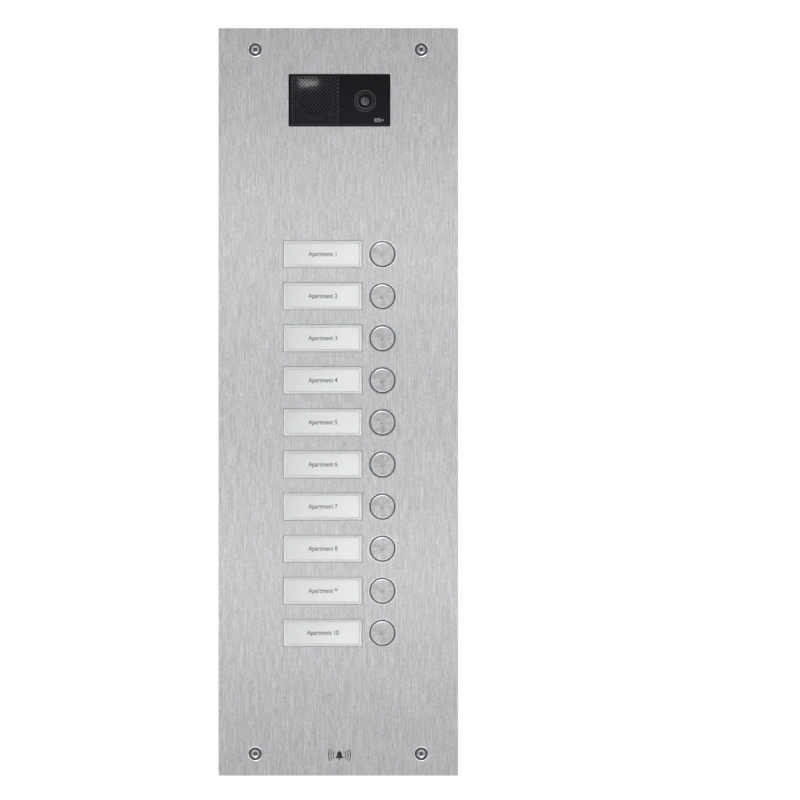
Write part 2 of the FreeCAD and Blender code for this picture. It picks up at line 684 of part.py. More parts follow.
def make_av_board():
    body = new_body("av_circuit_board")
    pad(body, "av_board_y", AV_BOARD_BACK, rectangle("av_x", "av_z", "70", "37"))
    cut(body, "av_board_y", AV_BOARD_BACK, *[
        circle(f"av_x + {31 * i}", f"av_z + {15 * j}", "1.2") for i in (-1, 1) for j in (-1, 1)])
    pad(body, AV_BOARD_BACK, f"{AV_BOARD_BACK} + 6", rectangle(RIBBON_X, "av_z - 11", "14", "7"))
    pad(body, "av_board_y - 1.3", "av_board_y",
        rectangle("av_x - 2", "av_z + 10", "10", "10"), rectangle("av_x - 22", "av_z - 13", "7", "5"))
    pad(body, "av_board_y - 6.5", "av_board_y",
        circle("av_x - 31", "av_z + 5", "2.6"), circle("av_x - 31", "av_z - 4", "2.6"))


def make_speaker():
    basket = new_body("loudspeaker_basket")
    rim = INSERT_BACK
    turn(basket, ("12.3", rim), ("speaker_rim_r", rim),
         ("speaker_rim_r", f"{rim} + 1"), ("13.6", f"{rim} + 1"),
         ("8.6", "4.6"), ("8.6", "6"), ("5.6", "6"), ("5.6", "5.2"), ("7.8", "5.2"), ("7.8", "4.4"),
         ("12.3", f"{rim} + 1.45"))
    at(basket, LEFT_X, "av_z")
    cone = new_body("speaker_cone")
    turn(cone, ("0", "2.2"), ("2.4", "2.6"), ("4", "3.6"), ("11.7", f"{rim} + 1"), ("12.25", f"{rim} + 1"),
         ("12.25", f"{rim} + 1.35"), ("11.9", f"{rim} + 1.35"), ("4.1", "4.1"), ("2.3", "3"), ("0", "2.6"))
    at(cone, LEFT_X, "av_z")
    magnet = new_body("speaker_magnet")
    turn(magnet, ("0", "6.05"), ("8", "6.05"), ("8", "10.4"), ("7.4", "11"), ("0", "11"))
    at(magnet, LEFT_X, "av_z")


def make_microphone():
    capsule = new_body("microphone_capsule")
    rim = INSERT_BACK
    turn(capsule, ("0", f"{rim} + 0.8"), ("2.9", f"{rim} + 0.8"), ("3", f"{rim} + 0.9"),
         ("3", f"{rim} + 3.5"), ("0", f"{rim} + 3.5"))
    boot = new_body("microphone_boot")
    turn(boot, ("3.02", rim), ("3.8", rim), ("3.8", f"{rim} + 4.5"), ("0.8", f"{rim} + 4.5"),
         ("0.8", f"{rim} + 3.6"), ("3.02", f"{rim} + 3.6"))
    for body in (capsule, boot):
        at(body, MICROPHONE_X, MICROPHONE_Z)


def make_camera_bracket():
    """The shroud behind the camera's window, with two arms that carry the pan pivots."""
    body = new_body("camera_bracket")
    shroud_back = f"{INSERT_BACK} + 1"
    pad(body, INSERT_BACK, shroud_back, rectangle("0", "0", "26", "26"))
    hole = cut(body, INSERT_BACK, shroud_back, circle("0", "0", "5.4"))
    dress(body, "PartDesign::Chamfer", "0.5", hole, in_plane(value(INSERT_BACK), 1, 1))
    arm_end = "camera_pivot_y + 3.5"
    pad(body, shroud_back, arm_end, rectangle("0", "10.8", "8", "2.4"), rectangle("0", "-10.8", "8", "2.4"))
    cut_across(body, "XY_Plane", "12", "24", circle("0", "camera_pivot_y", "camera_bore_r"))
    at(body, CAMERA_X, CAMERA_Z)


def make_camera_yoke():
    """The pan frame: pins above and below in the bracket, bores at the sides for the camera head."""
    body = new_body("camera_yoke")
    pad(body, "camera_pivot_y - 2.5", "camera_pivot_y + 2.5", rectangle("0", "0", "18", "18"),
        rectangle("0", "0", "14.8", "14.8"))
    cut_across(body, "YZ_Plane", "9", "18", circle("camera_pivot_y", "0", "camera_bore_r"))
    for offset in ("8.9", "-11.4"):
        pin = extrude(body, "PartDesign::Pad", "XY_Plane", offset, "2.5",
                      [circle("0", "camera_pivot_y", "camera_pin_r")])
        pin.Reversed = False
    at(body, CAMERA_X, CAMERA_Z)


def bind(item, **expressions):
    for name, text in expressions.items():
        item.setExpression(name.replace("__", "."), bound(text))


def cylinder(name, radius, length, base, towards):
    """A Part cylinder from base, three expressions, that points along a direction."""
    made = doc.addObject("Part::Cylinder", name)
    made.Placement.Rotation = FreeCAD.Rotation(V(0, 0, 1), towards)
    x, y, z = base
    bind(made, Radius=radius, Height=length, Placement__Base__x=x, Placement__Base__y=y, Placement__Base__z=z)
    return made


def combine(kind, name, *items):
    made = doc.addObject(kind, name)
    if kind == "Part::MultiFuse":
        made.Shapes = list(items)
    else:
        made.Base, made.Tool = items
    return made


def make_camera_head():
    """A ball on two side pins, bored for the lens barrel and cut flat for the sensor board."""
    ball = doc.addObject("Part::Sphere", "ball")
    bind(ball, Radius="camera_ball_r", Placement__Base__x=CAMERA_X, Placement__Base__y="camera_pivot_y",
         Placement__Base__z=CAMERA_Z)
    slice_tool = cylinder("slice", "camera_ball_r + 1", "camera_ball_r",
                          (CAMERA_X, "camera_pivot_y + 5.5", CAMERA_Z), V(0, 1, 0))
    bore = cylinder("bore", "2.92", "3 * camera_ball_r", (CAMERA_X, "-camera_ball_r", CAMERA_Z), V(0, 1, 0))
    left_pin = cylinder("left_pin", "camera_pin_r", "2.2",
                        (f"{CAMERA_X} - 8.9", "camera_pivot_y", CAMERA_Z), V(1, 0, 0))
    right_pin = cylinder("right_pin", "camera_pin_r", "2.2",
                         (f"{CAMERA_X} + 6.7", "camera_pivot_y", CAMERA_Z), V(1, 0, 0))
    solid = combine("Part::MultiFuse", "ball_and_pins", ball, left_pin, right_pin)
    sliced = combine("Part::Cut", "sliced_ball", solid, slice_tool)
    head = combine("Part::Cut", "camera_ball", sliced, bore)
    head.Label = "camera_ball"
    parts.append(head)


def make_lens():
    barrel = new_body("lens_barrel")
    turn(barrel, ("0", "1.5"), ("1.55", "1.5"), ("1.55", "0.3"), ("2.3", "-0.6"), ("2.9", "-0.6"),
         ("2.9", "12.4"), ("0", "12.4"))
    at(barrel, CAMERA_X, CAMERA_Z)
    dome = doc.addObject("Part::Sphere", "lens_dome")
    bind(dome, Radius="2.2", Placement__Base__x=CAMERA_X, Placement__Base__y="2", Placement__Base__z=CAMERA_Z)
    rod = cylinder("lens_rod", "1.5", "3", (CAMERA_X, "-1.55", CAMERA_Z), V(0, 1, 0))
    lens = combine("Part::Common", "camera_lens", dome, rod)
    lens.Label = "camera_lens"
    parts.append(lens)


def make_sensor_board():
    body = new_body("camera_sensor_board")
    pad(body, "camera_pivot_y + 5.5", "camera_pivot_y + 6.5", rectangle("0", "0", "10", "10"))
    pad(body, "camera_pivot_y + 6.5", "camera_pivot_y + 8", rectangle("0", "-2.5", "6", "3"))
    at(body, CAMERA_X, CAMERA_Z)


def make_trimmers():
    """Two volume trimmers on the module's board, with rotors that a screwdriver turns from behind."""
    body = new_body("volume_trimmers")
    for x in ("av_x - 14", "av_x + 14"):
        pad(body, AV_BOARD_BACK, "26", rectangle(x, "av_z + 9", "7", "7"))
        cut(body, "24.8", "26", circle(x, "av_z + 9", "2.25"))
    for label, x in (("speaker_volume_rotor", "av_x - 14"), ("microphone_volume_rotor", "av_x + 14")):
        rotor = new_body(label)
        turn(rotor, ("0", "24.85"), ("2.2", "24.85"), ("2.2", "26.3"), ("2", "26.5"), ("0", "26.5"))
        cut(rotor, "25.9", "26.5", rectangle("0", "0", "3.4", "0.7"))
        at(rotor, x, "av_z + 9")


def make_terminals():
    """The connector for the installer's wires: round wire entries below, clamping screws above."""
    body = new_body("terminal_block")
    rear = "av_cover_back + 3"
    pad(body, AV_BOARD_BACK, rear, rectangle("av_x", "av_z - 12", "26", "10"))
    entry = cut(body, f"{rear} - 6", rear, circle("av_x - 10", "av_z - 14.4", "1.6"))
    well = cut(body, f"{rear} - 3", rear, circle("av_x - 10", "av_z - 9.8", "1.9"))
    repeat(body, [entry, well], "X_Axis", "5", "5")
    screws = new_body("terminal_screws")
    head = pad(screws, f"{rear} - 3", f"{rear} - 1.4", circle("av_x - 10", "av_z - 9.8", "1.8"))
    slot = cut(screws, f"{rear} - 2", f"{rear} - 1.4", rectangle("av_x - 10", "av_z - 9.8", "3", "0.6"))
    repeat(screws, [head, slot], "X_Axis", "5", "5")


def make_ribbon_cable():
    """A flat lead from the module's board to the button board: straight, an even S-bend, straight."""
    upper_y, lower_y = 24.6, value(f"{BOARD_BACK} + 3")
    top, bend_top = value("av_z - 14.5"), value("av_z - 36")
    bend_low, bottom = value("av_z - 81"), value("first_row_z + 11")
    shift, drop = upper_y - lower_y, bend_top - bend_low
    radius = (drop ** 2 + shift ** 2) / (4 * shift)
    middle = V(0, (upper_y + lower_y) / 2, (bend_top + bend_low) / 2)
    upper_centre = V(0, upper_y - radius, bend_top)
    lower_centre = V(0, lower_y + radius, bend_low)
    half_thick, width = 0.45, 12

    def arc(start, centre, end, distance):
        """The arc of one bend at a distance from its centre, through the bend's own middle."""
        directions = [(point - centre).normalize() for point in (start, end)]
        halfway = (directions[0] + directions[1]).normalize()
        a, b, c = [centre + direction * distance for direction in (directions[0], halfway, directions[1])]
        return a, Part.Arc(a, b, c).toShape(), c

    def side(sign):
        """One face of the ribbon, from top to bottom; sign is +1 for the face further from the plate."""
        start, first, joint = arc(V(0, upper_y, bend_top), upper_centre, middle, radius + sign * half_thick)
        other, second, end = arc(middle, lower_centre, V(0, lower_y, bend_low), radius - sign * half_thick)
        high = V(0, upper_y + sign * half_thick, top)
        low = V(0, lower_y + sign * half_thick, bottom)
        return high, [Part.makeLine(high, start), first, second, Part.makeLine(end, low)], low

    far_top, far_side, far_low = side(1)
    near_top, near_side, near_low = side(-1)
    ends = [Part.makeLine(far_low, near_low), Part.makeLine(near_top, far_top)]
    outline = Part.Wire(Part.__sortEdges__(far_side + near_side + ends))
    ribbon = doc.addObject("Part::Feature", "ribbon_cable")
    ribbon.Label = "ribbon_cable"
    ribbon.Shape = Part.Face(outline).extrude(V(width, 0, 0))
    ribbon.Placement = FreeCAD.Placement(V(value(RIBBON_X) - width / 2, 0, 0), FreeCAD.Rotation())
    parts.append(ribbon)


# ---------------------------------------------------------------- the whole panel

def make_all():
    make_faceplate()
    make_plate_studs()
    make_gasket()
    make_security_screws()
    make_cup_washers()
    make_back_box()
    make_cable_grommet()
    for row in range(ROWS):
        make_name_window(row)
        make_button_cap(row)
    make_name_cards()
    make_light_boxes()
    make_button_seals()
    make_button_housings()
    make_button_springs()
    make_switches()
    make_button_board()
    make_backlights()
    make_stud_nuts()
    make_av_frame()
    make_speaker_grille()
    make_camera_fascia()
    make_camera_window()
    make_rear_cover()
    make_av_board()
    make_speaker()
    make_microphone()
    make_camera_bracket()
    make_camera_yoke()
    make_camera_head()
    make_lens()
    make_sensor_board()
    make_trimmers()
    make_terminals()
    make_ribbon_cable()
    doc.recompute()


def check_all():
    """Stops if any object of the document failed, or if a part isn't a valid closed shape."""
    for item in doc.Objects:
        if {"Invalid", "Error"} & set(item.State):
            raise RuntimeError(f"{item.Name} ({item.Label}) failed: {item.State}")
    for part in parts:
        if part.Shape.isNull() or not part.Shape.isValid() or not part.Shape.Solids:
            raise RuntimeError(f"{part.Label} has no valid solid")


make_all()
check_all()
os.makedirs("parts", exist_ok=True)
for part in parts:
    part.Shape.exportStep(f"parts/{part.Label}.step")
    solids = part.Shape.Solids
    print(f"{part.Label}: {len(solids)} solid(s), {part.Shape.Volume:.1f} mm3")
print(f"{len(parts)} parts written")
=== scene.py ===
import json
import math

import bpy
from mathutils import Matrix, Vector


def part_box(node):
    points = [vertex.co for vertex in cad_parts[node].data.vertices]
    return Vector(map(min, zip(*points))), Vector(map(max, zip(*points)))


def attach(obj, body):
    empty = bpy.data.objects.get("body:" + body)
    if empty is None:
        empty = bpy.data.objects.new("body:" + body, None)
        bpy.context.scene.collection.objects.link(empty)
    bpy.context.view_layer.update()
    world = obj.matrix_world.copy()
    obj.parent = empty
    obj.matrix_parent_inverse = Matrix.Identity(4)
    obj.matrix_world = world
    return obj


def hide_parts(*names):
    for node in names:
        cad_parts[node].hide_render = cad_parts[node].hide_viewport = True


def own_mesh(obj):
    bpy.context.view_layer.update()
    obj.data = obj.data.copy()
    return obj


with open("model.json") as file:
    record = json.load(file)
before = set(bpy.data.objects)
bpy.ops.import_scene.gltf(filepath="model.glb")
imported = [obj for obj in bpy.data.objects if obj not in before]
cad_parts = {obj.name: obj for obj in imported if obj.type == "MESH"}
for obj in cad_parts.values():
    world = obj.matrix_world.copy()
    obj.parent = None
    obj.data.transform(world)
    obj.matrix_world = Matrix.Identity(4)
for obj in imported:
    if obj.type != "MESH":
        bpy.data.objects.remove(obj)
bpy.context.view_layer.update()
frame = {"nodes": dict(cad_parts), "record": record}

# Everything is in metres, in the frame of the CAD model: +Z up, +X to the right as a caller sees
# the panel, +Y into the wall. Y = 0 is the wall's surface.
MM = 0.001
ROWS = 10
scene = bpy.context.scene
SLOT_OF = {entry["node"]: entry["material_slot"] for entry in frame["record"]["subparts"]}


def middle(node):
    """The middle of a CAD node's box."""
    low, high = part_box(node)
    return (Vector(low) + Vector(high)) / 2


PLATE_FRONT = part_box("faceplate")[0].y
FASCIA_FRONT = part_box("camera_fascia")[0].y
CARD_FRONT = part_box("name_cards")[0].y
CAMERA_AXIS = middle("camera_window")
ROW_PLACES = [middle(f"name_window_{row:02d}") for row in range(1, ROWS + 1)]
BUTTON_PLACES = [middle(f"button_cap_{row:02d}") for row in range(1, ROWS + 1)]
TOP_ROW_Z = ROW_PLACES[0].z
ROW_PITCH = TOP_ROW_Z - ROW_PLACES[1].z

# The screw at the upper right; the other three are its mirror images.
SCREW_HEAD_R = 3.6 * MM
SCREW_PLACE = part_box("security_screws")[1] - Vector((SCREW_HEAD_R, 0, SCREW_HEAD_R))

# How far from their axes the bevels of the plate's round holes reach; they are made smoother and painted
# brighter as a highlight.
SCREW_EDGE_R = 5.6 * MM
BUTTON_EDGE_R = 10.6 * MM

# Half the width and height of a window's face, and of the pocket behind it that holds the card;
# and how far to either side of the pocket's outline its walls are painted grey as shade.
WINDOW_HALF = Vector((29.3 * MM, 0, 9.95 * MM))
POCKET_HALF = Vector((27.7 * MM, 0, 8.4 * MM))
POCKET_WALL = 0.25 * MM

# The radius of a cap's flat face, as a share of the width over its flange.
CAP_FACE = 8.0 / 21.8

# The radii where the camera window's clear middle ends and where its ground edge is fully matt.
WINDOW_EDGE = (7.6 * MM, 7.8 * MM)

# Inner and outer radii of the rings about the camera's axis that are painted paler as highlights,
# and of the pale ring on the screws' washers.
SHROUD_RING = (5.3 * MM, 6.1 * MM)
BARREL_RINGS = ((1.5 * MM, 1.8 * MM), (2.55 * MM, 2.95 * MM))
LENS_RING = (1.15 * MM, 1.6 * MM)
WASHER_RING = (3.9 * MM, 4.2 * MM)

# The plain border round the mesh, the strength of the lamps' light round the cards, and how much
# paler than its plastic the painted highlight line on the module's rim is.
GRILLE_BORDER = 1.3 * MM
BORDER_GLOW = 0.34
RIM_HIGHLIGHT = 7.0


# ---------------------------------------------------------------- camera, stage and lights

# How far the camera stands from the plate, the width that it sees there, and how far the middle
# of its view is from the middle of the plate.
CAMERA_DISTANCE = 6.0
FIELD_WIDTH = 0.6013
CAMERA_OFFSET = Vector((0.0464, 0, 0.0013))


def make_camera():
    """A long lens square to the plate, a little to the right of its middle."""
    data = bpy.data.cameras.new("camera")
    data.sensor_width = 36
    data.lens = data.sensor_width * CAMERA_DISTANCE / FIELD_WIDTH
    data.clip_end = 60
    camera = bpy.data.objects.new("camera", data)
    camera.location = CAMERA_OFFSET + Vector((0, PLATE_FRONT - CAMERA_DISTANCE, 0))
    camera.rotation_euler = (math.radians(90), 0, 0)
    scene.collection.objects.link(camera)
    scene.camera = camera


def make_floor():
    """A plain pale floor, well below the panel."""
    mesh = bpy.data.meshes.new("floor")
    half, near, far, drop = 14.0, -16.0, 10.0, -1.0
    corners = [(-half, near, drop), (half, near, drop), (half, far, drop), (-half, far, drop)]
    mesh.from_pydata(corners, [], [(0, 1, 2, 3)])
    floor = bpy.data.objects.new("floor", mesh)
    scene.collection.objects.link(floor)
    paint = Nodes("floor_paint", (0.52, 0.52, 0.52), 0.85)
    paint.tint(paint.spread(paint.noise((3, 3, 3)), 0.99, 1.01))
    mesh.materials.append(paint.material)


def make_world():
    """A white room: brighter above than below, and dimmer straight ahead of the plate, where the
    camera stands. The camera itself sees plain white."""
    world = bpy.data.worlds.new("studio")
    world.use_nodes = True
    nodes, links = world.node_tree.nodes, world.node_tree.links
    nodes.clear()
    place = nodes.new("ShaderNodeTexCoord")
    split = nodes.new("ShaderNodeSeparateXYZ")
    links.new(place.outputs["Generated"], split.inputs[0])
    # Dim within 11 degrees of straight ahead, and at its full strength beyond 39 degrees.
    ahead = nodes.new("ShaderNodeMapRange")
    ahead.interpolation_type = "SMOOTHSTEP"
    for label, number in (("From Min", -0.98), ("From Max", -0.78), ("To Min", 0.37), ("To Max", 0.78)):
        ahead.inputs[label].default_value = number
    links.new(split.outputs["Y"], ahead.inputs["Value"])
    rise = nodes.new("ShaderNodeMath")
    rise.operation = "MULTIPLY_ADD"
    rise.inputs[1].default_value = 0.75
    rise.inputs[2].default_value = 1.0
    links.new(split.outputs["Z"], rise.inputs[0])
    strength = nodes.new("ShaderNodeMath")
    strength.operation = "MULTIPLY"
    links.new(ahead.outputs["Result"], strength.inputs[0])
    links.new(rise.outputs[0], strength.inputs[1])
    lit = nodes.new("ShaderNodeBackground")
    lit.inputs["Color"].default_value = (0.97, 0.985, 1.0, 1)
    links.new(strength.outputs[0], lit.inputs["Strength"])
    seen = nodes.new("ShaderNodeBackground")
    seen.inputs["Color"].default_value = (1, 1, 1, 1)
    seen.inputs["Strength"].default_value = 1.02
    path = nodes.new("ShaderNodeLightPath")
    mix = nodes.new("ShaderNodeMixShader")
    output = nodes.new("ShaderNodeOutputWorld")
    links.new(path.outputs["Is Camera Ray"], mix.inputs[0])
    links.new(lit.outputs[0], mix.inputs[1])
    links.new(seen.outputs[0], mix.inputs[2])
    links.new(mix.outputs[0], output.inputs["Surface"])
    scene.world = world


def make_light(name, place, target, width, height, power):
    """An area light that faces target and that the camera doesn't see."""
    data = bpy.data.lights.new(name, "AREA")
    data.shape = "RECTANGLE"
    data.size, data.size_y = width, height
    data.energy = power
    light = bpy.data.objects.new(name, data)
    light.location = place
    light.rotation_euler = (Vector(target) - Vector(place)).to_track_quat("-Z", "Y").to_euler()
    light.visible_camera = False
    scene.collection.objects.link(light)


def make_lights():
    """Two soft strips in front of the rows, which the steel shows as two faint bands, a key light
    from above, a strip below that the edges facing down catch, and a small glint in the grille."""
    for name, z in (("upper_strip", 0.132), ("lower_strip", -0.137)):
        make_light(name, (0.0, -0.6, z), (0.0, 0.0, z), 1.2, 0.06, 0.37)
    make_light("key", (-0.5, -1.7, 2.1), (0.0, 0.0, 0.0), 1.2, 1.2, 11.0)
    make_light("from_below", (0.0, -0.6, -0.85), (0.0, 0.0, -0.04), 1.2, 0.3, 1.3)
    glint = middle("speaker_grille") + Vector((-5.5 * MM, 0, 12.9 * MM))
    distance = 1.0
    offset = (glint - scene.camera.location) * distance / CAMERA_DISTANCE
    place = (glint.x + offset.x, -distance, glint.z + offset.z)
    make_light("glint", place, glint, 16 * MM, 4.5 * MM, 0.0038)


# ---------------------------------------------------------------- material helpers

class Nodes:
    """A material under construction: its shader, and short ways to add textures."""

    def __init__(self, name, color, roughness, metallic=0.0, **sockets):
        self.material = bpy.data.materials.new(name)
        self.material.use_nodes = True
        self.tree = self.material.node_tree
        self.shader = self.tree.nodes["Principled BSDF"]
        self.shader.inputs["Base Color"].default_value = (*color, 1)
        self.shader.inputs["Roughness"].default_value = roughness
        self.shader.inputs["Metallic"].default_value = metallic
        for label, number in sockets.items():
            self.shader.inputs[label.replace("_", " ")].default_value = number
        self.color = color

    def add(self, kind, **settings):
        node = self.tree.nodes.new(kind)
        for key, setting in settings.items():
            setattr(node, key, setting)
        return node

    def link(self, output, socket):
        self.tree.links.new(output, socket)

    def fill(self, node, *values):
        """Sets or links a node's inputs in order, and returns its first output."""
        for socket, value in zip(node.inputs, values):
            if isinstance(value, bpy.types.NodeSocket):
                self.link(value, socket)
            else:
                socket.default_value = value
        return node.outputs[0]

    def math(self, operation, *values):
        return self.fill(self.add("ShaderNodeMath", operation=operation), *values)

    def vector(self, operation, *values):
        return self.fill(self.add("ShaderNodeVectorMath", operation=operation), *values)

    def place(self, kind="Object"):
        return self.add("ShaderNodeTexCoord").outputs[kind]

    def noise_at(self, place, detail=3.0, rough=0.55):
        texture = self.add("ShaderNodeTexNoise")
        texture.inputs["Scale"].default_value = 1.0
        texture.inputs["Detail"].default_value = detail
        texture.inputs["Roughness"].default_value = rough
        self.link(place, texture.inputs["Vector"])
        return texture.outputs["Fac"]

    def noise(self, scale, detail=3.0):
        """Noise in object coordinates; scale gives the cycles per metre along X, Y and Z."""
        return self.noise_at(self.vector("MULTIPLY", self.place(), scale), detail)

    def spread(self, value, low, high, start=0.3, end=0.7):
        """Maps start to end, which hold the middle of a noise, onto low to high."""
        node = self.add("ShaderNodeMapRange")
        for label, number in (("From Min", start), ("From Max", end), ("To Min", low), ("To Max", high)):
            node.inputs[label].default_value = number
        self.link(value, node.inputs["Value"])
        return node.outputs["Result"]

    def axes(self, vector=None):
        """The X, Y and Z of a vector, or of the object coordinates."""
        node = self.add("ShaderNodeSeparateXYZ")
        self.link(vector or self.place(), node.inputs[0])
        return node.outputs["X"], node.outputs["Y"], node.outputs["Z"]

    def length(self, vector):
        node = self.add("ShaderNodeVectorMath", operation="LENGTH")
        self.link(vector, node.inputs[0])
        return node.outputs["Value"]

    def radius(self, centre, place=None):
        """The distance from a line through centre that runs along Y."""
        offset = self.vector("SUBTRACT", place or self.place(), centre)
        return self.length(self.vector("MULTIPLY", offset, (1, 0, 1)))

    def ring(self, radius, inner, outer, blur=0.05 * MM):
        """1 between two radii, and 0 elsewhere."""
        rises = self.spread(radius, 0.0, 1.0, start=inner - blur, end=inner + blur)
        falls = self.spread(radius, 1.0, 0.0, start=outer - blur, end=outer + blur)
        return self.math("MULTIPLY", rises, falls)

    def tint(self, factor):
        """Multiplies the base colour by a value from a texture."""
        scale = self.add("ShaderNodeVectorMath", operation="SCALE")
        scale.inputs[0].default_value = self.color
        self.link(factor, scale.inputs["Scale"])
        self.link(scale.outputs["Vector"], self.shader.inputs["Base Color"])

    def rough(self, value):
        self.link(value, self.shader.inputs["Roughness"])

    def bump(self, height, strength, distance):
        node = self.add("ShaderNodeBump")
        node.inputs["Strength"].default_value = strength
        node.inputs["Distance"].default_value = distance
        self.link(height, node.inputs["Height"])
        self.link(node.outputs["Normal"], self.shader.inputs["Normal"])


# ---------------------------------------------------------------- metals

def brushed_steel():
    """Stainless sheet with a vertical grain: scratches of three lengths, from about two to thirty
    millimetres, over hairlines and faint wide bands."""
    made = Nodes("brushed_steel", (0.626, 0.628, 0.637), 0.36, 1.0)
    short = made.noise((1500, 250, 420), detail=1.0)
    middling = made.noise((1300, 250, 110), detail=1.0)
    long = made.noise((1400, 250, 34), detail=1.0)
    hairline = made.noise((4500, 400, 70), detail=1.0)
    band = made.noise((160, 60, 14), detail=2.0)
    tone = made.math("MULTIPLY", made.spread(short, 0.88, 1.11), made.spread(middling, 0.885, 1.11))
    tone = made.math("MULTIPLY", tone, made.spread(long, 0.90, 1.11))
    tone = made.math("MULTIPLY", tone, made.spread(hairline, 0.92, 1.07))
    tone = made.math("MULTIPLY", tone, made.spread(band, 0.985, 1.015))
    bevel = hole_bevels(made)
    # Painted highlight: the bevels of the round holes are painted brighter than the sheet.
    tone = made.math("MAXIMUM", tone, made.math("MULTIPLY", bevel, 1.25))
    near_hole = made.math("LESS_THAN", 0.5, bevel)
    # Painted shade: the steel inside the round holes is darkened by depth.
    gap_shade = made.math("MULTIPLY", made.math("SUBTRACT", 1.0, painted_gap_shade(made)), near_hole)
    made.tint(made.math("MULTIPLY", tone, made.math("SUBTRACT", 1.0, gap_shade)))
    rough = made.math("ADD", made.spread(middling, 0.33, 0.40), made.spread(hairline, -0.02, 0.02))
    made.rough(made.math("MULTIPLY_ADD", bevel, -0.14, rough))
    made.bump(made.math("ADD", middling, hairline), 0.12, 0.00002)
    return made.material


def fold_rows(made, z):
    """Moves a height in any row to the same place in the top row."""
    return made.math("WRAP", z, TOP_ROW_Z + ROW_PITCH / 2, TOP_ROW_Z - ROW_PITCH / 2)


def painted_gap_shade(made):
    """1 on what faces the caller, falling to a dark painted shade inside the gaps round the buttons."""
    _, depth, _ = made.axes()
    return made.spread(depth, 1.0, 0.2, start=PLATE_FRONT + 0.5 * MM, end=PLATE_FRONT + 0.9 * MM)


def hole_bevels(made):
    """1 on the bevels of the plate's round holes, and inside them: the mask of their painted highlight."""
    x, _, z = made.axes()
    mirrored = made.vector("ABSOLUTE", made.place())
    screws = made.math("LESS_THAN", made.radius(SCREW_PLACE, mirrored), SCREW_EDGE_R)
    in_top_row = made.add("ShaderNodeCombineXYZ")
    made.link(x, in_top_row.inputs["X"])
    made.link(fold_rows(made, z), in_top_row.inputs["Z"])
    buttons = made.math("LESS_THAN", made.radius(BUTTON_PLACES[0], in_top_row.outputs[0]), BUTTON_EDGE_R)
    top, bottom = TOP_ROW_Z + ROW_PITCH / 2, TOP_ROW_Z - (ROWS - 0.5) * ROW_PITCH
    in_rows = made.math("MULTIPLY", made.math("LESS_THAN", z, top), made.math("GREATER_THAN", z, bottom))
    return made.math("MAXIMUM", screws, made.math("MULTIPLY", buttons, in_rows))


def turned_steel():
    """The face of a turned cap: fine rings, a painted sheen that fans light and dark about the axis,
    a painted highlight on its bevel, and the small marks that the tool leaves in the middle."""
    made = Nodes("turned_steel", (0.571, 0.573, 0.581), 0.34, 1.0, Anisotropic=0.5)
    tangent = made.add("ShaderNodeTangent", direction_type="RADIAL", axis="Y")
    made.link(tangent.outputs["Tangent"], made.shader.inputs["Tangent"])
    centred = made.vector("SUBTRACT", made.place("Generated"), (0.5, 0.5, 0.5))
    across = made.vector("MULTIPLY", centred, (1, 0, 1))
    direction = made.vector("NORMALIZE", across)
    # Painted sheen: a fan of light and dark about the axis, as the turned face would reflect it.
    painted_fan = made.noise_at(made.vector("MULTIPLY", direction, (1.15, 1.15, 1.15)), detail=3.0, rough=0.6)
    patch = made.noise((330, 60, 330), detail=2.0)
    marks = made.noise_at(made.vector("MULTIPLY", across, (13, 13, 13)), detail=1.0)
    radius = made.length(across)
    central = made.spread(radius, 1.0, 0.0, start=0.04, end=0.13)
    dark = made.math("MULTIPLY", central, made.spread(marks, 0.0, 0.45, start=0.45, end=0.6))
    tone = made.math("MULTIPLY", made.spread(painted_fan, 0.80, 1.17), made.spread(patch, 0.9, 1.1))
    tone = made.math("MULTIPLY", tone, made.math("SUBTRACT", 1.0, dark))
    # Painted highlight: the bevel round the face is painted at least a little brighter.
    bevel = made.spread(radius, 0.0, 1.0, start=CAP_FACE - 0.004, end=CAP_FACE + 0.004)
    tone = made.math("MAXIMUM", tone, made.math("MULTIPLY", bevel, 1.05))
    # Painted shade: the cap's sides are darkened down in the gap.
    made.tint(made.math("MULTIPLY", tone, painted_gap_shade(made)))
    made.rough(made.math("MULTIPLY_ADD", bevel, 0.06, made.spread(patch, 0.30, 0.38)))
    rings = made.math("SINE", made.math("MULTIPLY", radius, 420.0))
    made.bump(made.math("ADD", rings, patch), 0.08, 0.00001)
    return made.material


def plain_metal(name, color, roughness):
    """Metal with a fine even grain."""
    made = Nodes(name, color, roughness, 1.0)
    noise = made.noise((700, 700, 700), detail=4.0)
    made.tint(made.spread(noise, 0.94, 1.06))
    made.rough(made.spread(noise, roughness - 0.06, roughness + 0.06))
    made.bump(noise, 0.1, 0.00002)
    return made.material


def galvanised_steel():
    """Zinc spangle: flat crystals a centimetre across, each with its own tone."""
    made = Nodes("galvanised_steel", (0.50, 0.52, 0.54), 0.42, 1.0)
    crystals = made.add("ShaderNodeTexVoronoi")
    crystals.inputs["Scale"].default_value = 110.0
    made.link(made.place(), crystals.inputs["Vector"])
    split = made.add("ShaderNodeSeparateColor")
    made.link(crystals.outputs["Color"], split.inputs["Color"])
    dust = made.noise((400, 400, 400), detail=5.0)
    tone = made.math("MULTIPLY_ADD", split.outputs[0], 0.22, 0.86)
    made.tint(made.math("MULTIPLY", tone, made.spread(dust, 0.94, 1.04)))
    made.rough(made.math("MULTIPLY_ADD", split.outputs[1], 0.16, 0.34))
    made.bump(dust, 0.15, 0.00003)
    return made.material


# ---------------------------------------------------------------- plastics, rubber, paper

